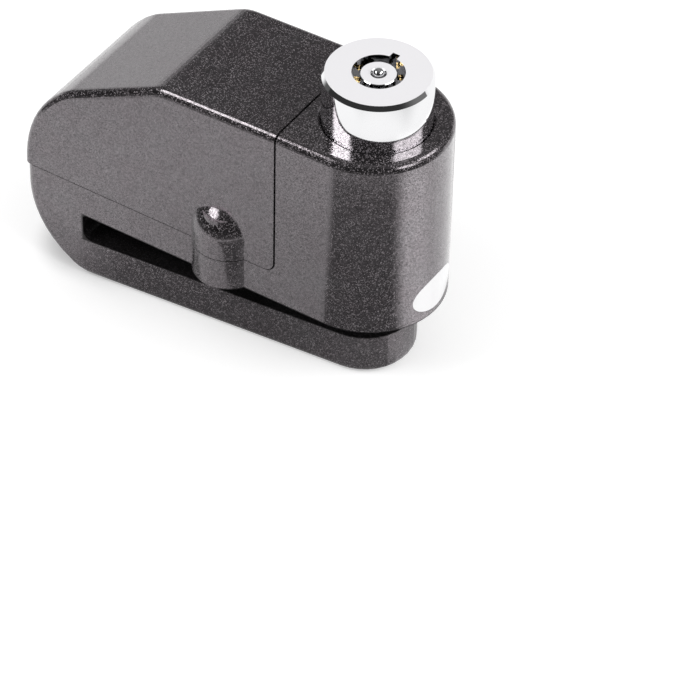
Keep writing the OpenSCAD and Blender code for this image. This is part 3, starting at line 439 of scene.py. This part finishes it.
def add_spring():
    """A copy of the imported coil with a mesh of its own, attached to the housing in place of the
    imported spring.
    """
    coil = bpy.data.objects.new("return_coil", NODES["return_spring"].data.copy())
    bpy.context.scene.collection.objects.link(coil)
    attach(coil, "housing")
    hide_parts("return_spring")
    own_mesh(coil)


add_spring()


# Floor and room

# The jaw's footprint on the floor, a box with rounded corners
JAW_MIDDLE = -29 * MM
JAW_HALF_LENGTH = 38 * MM
JAW_HALF_WIDTH = 14 * MM
JAW_CORNER = 9 * MM

# Distances from the jaw between which its painted contact shade, and the painted sheet that metal
# sees, fade out
CONTACT_FADE = 8 * MM, 13 * MM
SHEET_FADE = 66 * MM, 100 * MM

# The outer edge of the painted dark patch and the painted pool of light, measured from the tower's
# axis
DARK_PATCH_EDGE = 75 * MM, 76.5 * MM

# Level directions: to the floor's far side, and to the room's pale wall
FAR_SIDE = -0.34, 0.94
PALE_WALL = -0.6, 0.8

FLOOR_HALF = 6.0
FLOOR_DROP = 0.05 * MM
FLOOR_COLOUR = grey(0.82)
FLOOR_GLOW = 0.36
ROOM_FILL = 0.6


def angles(*degrees):
    return [math.radians(angle) for angle in degrees]


def past(t, value, half):
    """How far a value lies beyond half, on either side of zero."""
    return t.math("MAXIMUM", t.math("SUBTRACT", t.math("ABSOLUTE", value), half), 0.0)


def from_jaw(t, x, y, inset=0.0):
    """Distance on the floor from the box round the jaw, which can be drawn in all round."""
    along = past(t, t.math("SUBTRACT", x, JAW_MIDDLE), JAW_HALF_LENGTH - inset)
    across = past(t, y, JAW_HALF_WIDTH - inset)
    return t.length(along, across)


def painted_rear_shadow(t, x, y):
    """Painted shadow on the floor close to the jaw's rear end: 1 at its deepest, 0 away from it."""
    rim = from_jaw(t, x, y, inset=JAW_CORNER)
    return t.product(
        t.ramp(x, -64 * MM, -40 * MM, 1.0, 0.0),
        t.ramp(rim, JAW_CORNER - 2 * MM, JAW_CORNER + 4.5 * MM, 1.0, 0.0))


def painted_floor_reflection(t, x, y):
    """Painted reflection: how bright metal sees the floor. A white sheet with painted shade close to
    the jaw and near the tower, a painted dark end in front, a painted dark patch and a painted pool
    of light right of the patch."""
    away = from_jaw(t, x, y)
    span = t.length(x, y)
    # Azimuth round the tower's axis, counted from -Y towards +X
    turn = t.math("ARCTAN2", x, t.product(y, -1.0))
    behind = t.math("DIVIDE", t.along(x, y, FAR_SIDE), span)
    clear = t.ramp(away, *CONTACT_FADE)
    near = t.ramp(span, *DARK_PATCH_EDGE, 1.0, 0.0)

    front_shade = t.line(x, -20 * MM, 12 * MM, 0.3, 0.5)
    back_shade = t.ramp(x, -64 * MM, -46 * MM, 0.52, 0.0)
    # Painted contact shade: the floor is darker in reflections close to the jaw
    painted_contact_shade = t.between(clear, t.total(front_shade, back_shade), 1.0)

    # Painted dark end of the sheet in front of the object
    end = t.product(t.ramp(away, *SHEET_FADE), t.ramp(behind, 0.2, 0.5, 0.9, 0.0))
    # Painted dark patch between the two softboxes, where there is only shade
    painted_dark_patch = t.product(
        t.ramp(turn, *angles(-20, -17)),
        t.ramp(turn, *angles(56, 82), 0.74, 0.0),
        near, clear)
    # Painted pool of light to the right of the dark patch
    pool = t.product(
        t.ramp(turn, *angles(57, 78), 0.0, 0.95),
        t.ramp(turn, *angles(95, 120), 1.0, 0.5),
        near)
    # Painted shade, darker close to the tower's axis
    sheet = t.total(t.ramp(span, 30 * MM, 88 * MM, 0.66, 1.0), pool)
    bare = t.math("SUBTRACT", 1.0, t.math("MAXIMUM", end, painted_dark_patch))
    return t.product(painted_contact_shade, sheet, bare)


def floor_material():
    """White floor that keeps a soft shadow, with a painted shadow close to the object's rear end.
    Glossy rays see a painted reflection pattern in its place."""
    made = bpy.data.materials.new("white_floor")
    t = Tree(made)
    x, y, _ = t.split(t.place())
    path = t.light_path()
    diffuse = t.node("ShaderNodeBsdfDiffuse")
    diffuse.inputs["Color"].default_value = FLOOR_COLOUR
    seen = t.math("MAXIMUM", path["Is Camera Ray"], path["Is Transmission Ray"])
    glow = t.emission(t.product(seen, t.between(painted_rear_shadow(t, x, y), FLOOR_GLOW, 0.0)))
    lit = t.fill(t.node("ShaderNodeAddShader"), diffuse.outputs[0], glow)
    # Painted reflection of the floor, for glossy rays
    painted_reflection = t.emission(painted_floor_reflection(t, x, y))
    surface = t.fill(t.node("ShaderNodeMixShader"), path["Is Glossy Ray"], lit, painted_reflection)
    t.put(t.node("ShaderNodeOutputMaterial").inputs["Surface"], surface)
    return made


def add_floor():
    """A wide level sheet just below the object."""
    corners = [(x * FLOOR_HALF, y * FLOOR_HALF, 0) for x, y in ((-1, -1), (1, -1), (1, 1), (-1, 1))]
    mesh = bpy.data.meshes.new("floor")
    mesh.from_pydata(corners, [], [(0, 1, 2, 3)])
    floor = bpy.data.objects.new("floor", mesh)
    floor.location.z = -FLOOR_DROP
    bpy.context.scene.collection.objects.link(floor)
    floor.data.materials.append(floor_material())


def add_world():
    """Even fill for matt surfaces, and white to the camera. Metal sees a dim room with a pale far
    wall and a faint light overhead."""
    world = bpy.data.worlds.new("surround")
    bpy.context.scene.world = world
    t = Tree(world)
    x, y, z = t.split(t.node("ShaderNodeTexCoord").outputs["Generated"])
    path = t.light_path()
    room = t.ramp(y, -0.3, 0.4, 0.03, 0.17)
    wall = t.product(t.ramp(t.along(x, y, PALE_WALL), 0.74, 0.94), t.ramp(z, 0.12, 0.4, 0.62, 0.0))
    overhead = t.ramp(z, 0.66, 0.95, 0.0, 0.09)
    level = t.between(path["Is Glossy Ray"], ROOM_FILL, t.total(room, wall, overhead))
    back = t.node("ShaderNodeBackground")
    back.inputs["Color"].default_value = grey(1.0)
    t.put(back.inputs["Strength"], t.math("MAXIMUM", level, path["Is Camera Ray"]))
    t.put(t.node("ShaderNodeOutputWorld").inputs["Surface"], back.outputs[0])


# Softboxes and camera

# The place that the softboxes look at, and how far from it they stand
LIT_PLACE = Vector((-0.02, 0.0, 0.03))
SOFTBOX_DISTANCE = 0.8

# The fitted camera, with its angles in degrees
CAMERA_PLACE = (0.27004, -0.44325, 0.48023)
CAMERA_AZIMUTH = 31.76
CAMERA_ELEVATION = 42.926
CAMERA_ROLL = 1.514
SENSOR_WIDTH_MM = 36.0
LENS_MM = 196.12
CLIP_START = 0.01


def towards(azimuth, elevation, distance=1.0):
    """A place seen from the object, with the azimuth counted from -Y towards +X."""
    a, e = angles(azimuth, elevation)
    return Vector((math.sin(a) * math.cos(e), -math.cos(a) * math.cos(e), math.sin(e))) * distance


def add_softbox(name, azimuth, elevation, width, height, energy):
    """A rectangular softbox that looks at the object. All its angles are in degrees, as seen from
    there, its width and height among them."""
    data = bpy.data.lights.new(name, "AREA")
    data.shape = "RECTANGLE"
    data.size = 2 * SOFTBOX_DISTANCE * math.tan(math.radians(width / 2))
    data.size_y = 2 * SOFTBOX_DISTANCE * math.tan(math.radians(height / 2))
    data.energy = energy
    lamp = bpy.data.objects.new(name, data)
    lamp.location = LIT_PLACE + towards(azimuth, elevation, SOFTBOX_DISTANCE)
    lamp.rotation_euler = (LIT_PLACE - lamp.location).to_track_quat("-Z", "Y").to_euler()
    bpy.context.scene.collection.objects.link(lamp)


def add_camera():
    """Camera at the fitted place, turned by its roll."""
    back = towards(CAMERA_AZIMUTH, CAMERA_ELEVATION)
    right = Vector((0, 0, 1)).cross(back).normalized()
    up = back.cross(right)
    roll = math.radians(CAMERA_ROLL)
    side = right * math.cos(roll) + up * math.sin(roll)
    over = up * math.cos(roll) - right * math.sin(roll)
    data = bpy.data.cameras.new("camera")
    data.sensor_width = SENSOR_WIDTH_MM
    data.lens = LENS_MM
    data.clip_start = CLIP_START
    camera = bpy.data.objects.new("camera", data)
    turn = Matrix((side, over, back)).transposed().to_4x4()
    camera.matrix_world = Matrix.Translation(CAMERA_PLACE) @ turn
    bpy.context.scene.collection.objects.link(camera)
    bpy.context.scene.camera = camera


add_floor()
add_world()
add_softbox("left", azimuth=-44.0, elevation=43.0, width=33.0, height=18.0, energy=2.5)
add_softbox("right", azimuth=101.0, elevation=38.0, width=50.0, height=22.0, energy=3.0)
add_camera()

scene = bpy.context.scene
scene.view_settings.view_transform = "Standard"
